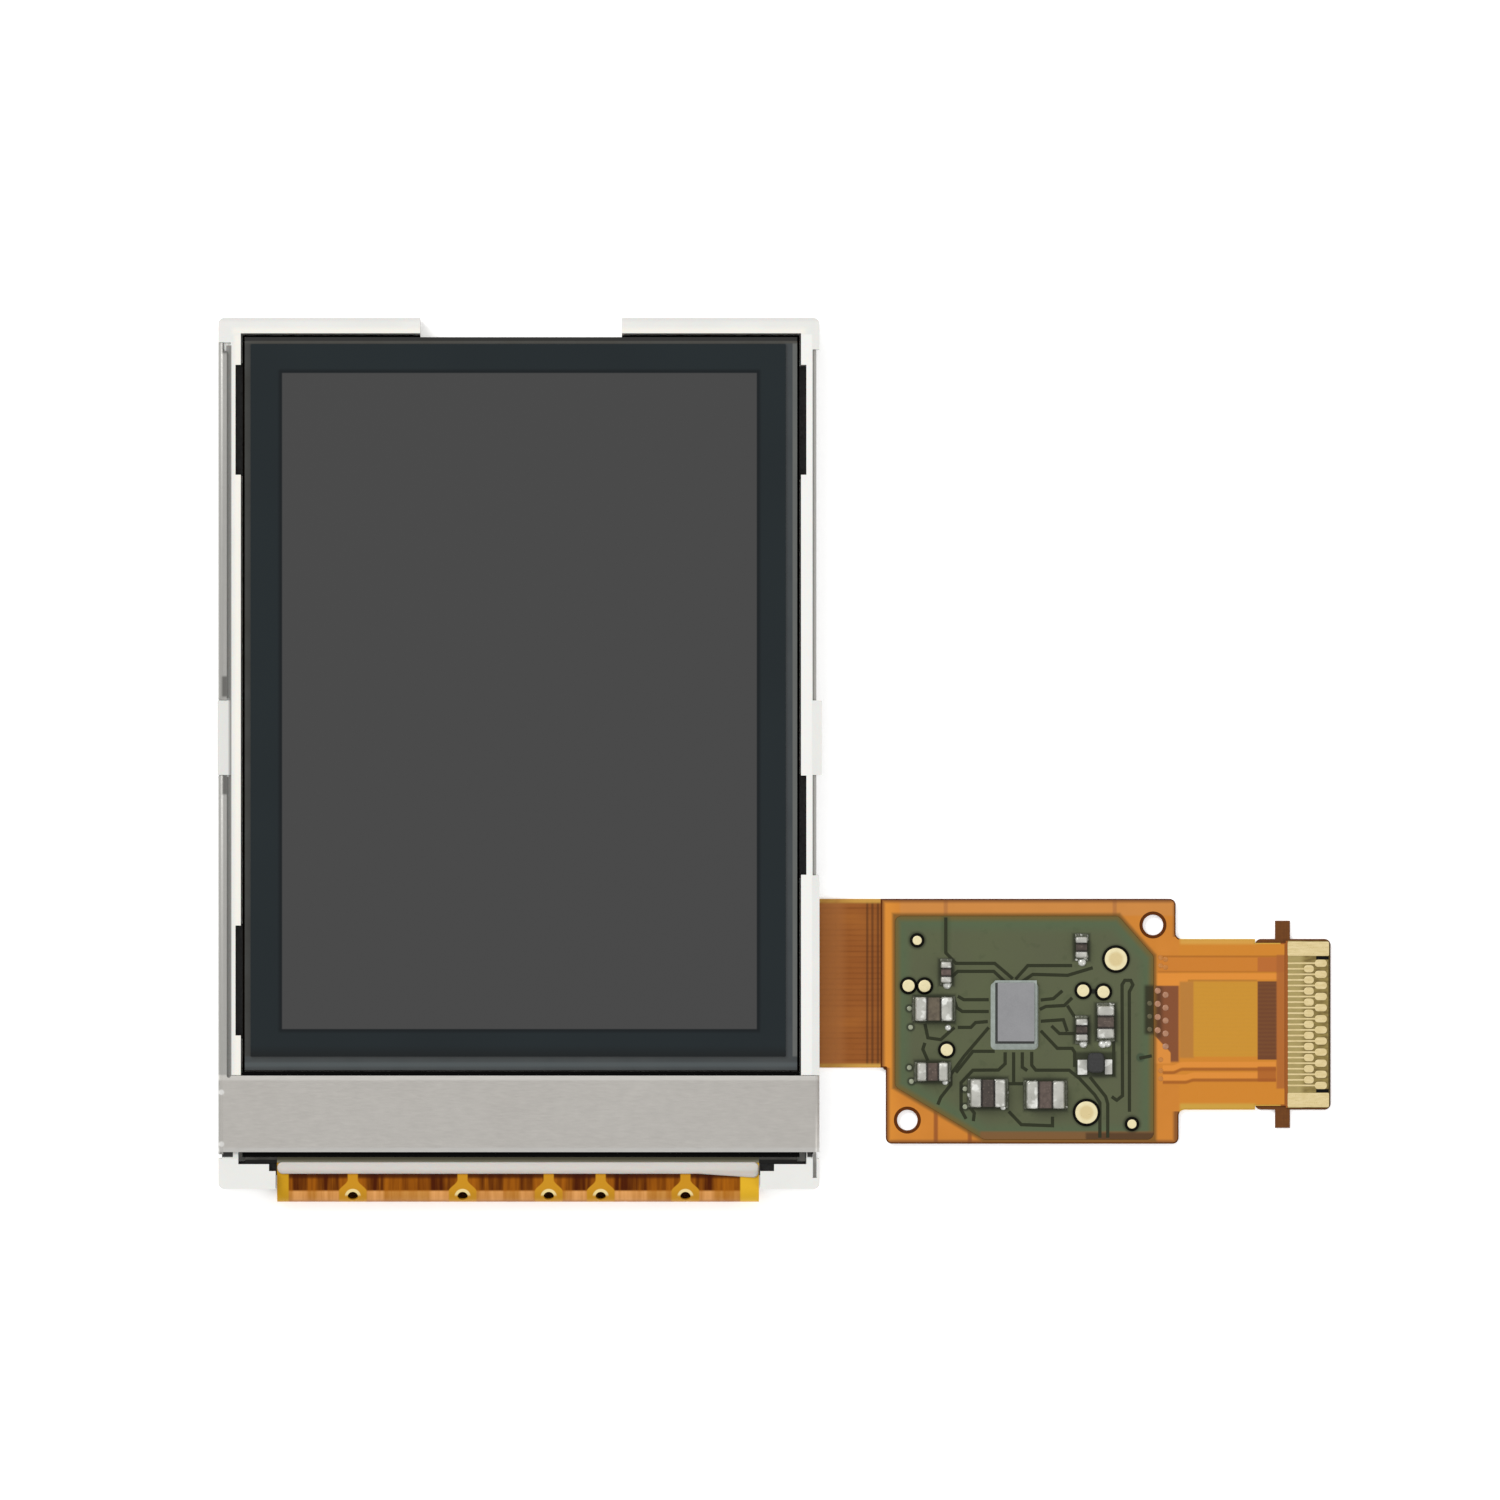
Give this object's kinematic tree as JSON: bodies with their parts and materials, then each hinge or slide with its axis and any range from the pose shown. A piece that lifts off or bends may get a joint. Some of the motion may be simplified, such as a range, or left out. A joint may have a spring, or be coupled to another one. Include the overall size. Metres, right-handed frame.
{
  "type": "lcd display",
  "caption": "Portrait colour display module: dark screen in a white frame and steel chassis, with a folded flexible circuit, a component board and a gold contact tongue.",
  "frame": {"origin": "centre of the module's outline, on the back face of its steel plate", "axes": "+Z out of the screen, +X across the screen towards the board and the contact tongue, +Y up the screen, away from the folded circuit"},
  "size_m": [0.0707, 0.0562, 0.0025],
  "materials": {
    "chassis_sheet": "satin nickel plated sheet, 0.2 mm",
    "white_moulding": "white moulded plastic, fine matte",
    "mirror_sheet": "silver reflector film",
    "clear_guide": "clear acrylic, polished edges",
    "backlight_film": "translucent optical film",
    "lamp_body": "white lamp housing",
    "amber_film": "amber polyimide",
    "black_tape": "matt black adhesive tape",
    "polariser_film": "dark glossy polariser",
    "cell_glass": "polished display glass over dark backing",
    "cell_fill": "dark liquid crystal and colour filters",
    "black_print": "printed black matrix",
    "driver_silicon": "bare polished chip",
    "conductive_film": "thin bonding film",
    "resin": "pale cured resin",
    "copper_polyimide": "brown polyimide over fine copper tracks",
    "orange_cover": "orange cover film",
    "green_mask": "olive green solder mask",
    "tape": "double-sided tape",
    "brown_laminate": "brown glass-fibre laminate",
    "gold_plate": "thin gold plating over nickel",
    "tin_plate": "bright tin",
    "solder": "bright solder",
    "chip_ceramic": "brown-grey fired ceramic",
    "chip_package": "ground back of a chip",
    "black_moulding": "black moulding compound"
  },
  "bodies": {
    "root": {"back_tape": "tape", "backlight_ic": "chip_package", "black_border": "black_print", "board_coverlay": "orange_cover", "board_stiffener": "brown_laminate", "bond_film": "conductive_film", "capacitor_1": "chip_ceramic", "capacitor_2": "chip_ceramic", "capacitor_3": "chip_ceramic", "capacitor_4": "chip_ceramic", "capacitor_5": "chip_ceramic", "capacitor_6": "chip_ceramic", "capacitor_7": "chip_ceramic", "capacitor_8": "chip_ceramic", "capacitor_terminals": "tin_plate", "choke": "black_moulding", "choke_leads": "tin_plate", "color_filter_glass": "cell_glass", "contact_fingers": "gold_plate", "diffuser_film": "backlight_film", "driver_chip": "driver_silicon", "flex_circuit": "copper_polyimide", "front_polariser": "polariser_film", "ic_underfill": "resin", "led_1": "lamp_body", "led_2": "lamp_body", "led_3": "lamp_body", "led_4": "lamp_body", "led_flex": "amber_film", "light_guide": "clear_guide", "light_shield_tape": "black_tape", "liquid_crystal_layer": "cell_fill", "lower_prism_film": "backlight_film", "mould_frame": "white_moulding", "rear_polariser": "polariser_film", "reflector_film": "mirror_sheet", "rim_tape": "black_tape", "sealant_bead": "resin", "solder_joints": "solder", "solder_mask": "green_mask", "steel_chassis": "chassis_sheet", "test_pads": "gold_plate", "tft_glass": "cell_glass", "tongue_stiffener": "brown_laminate", "upper_prism_film": "backlight_film"}
  },
  "joints": []
}
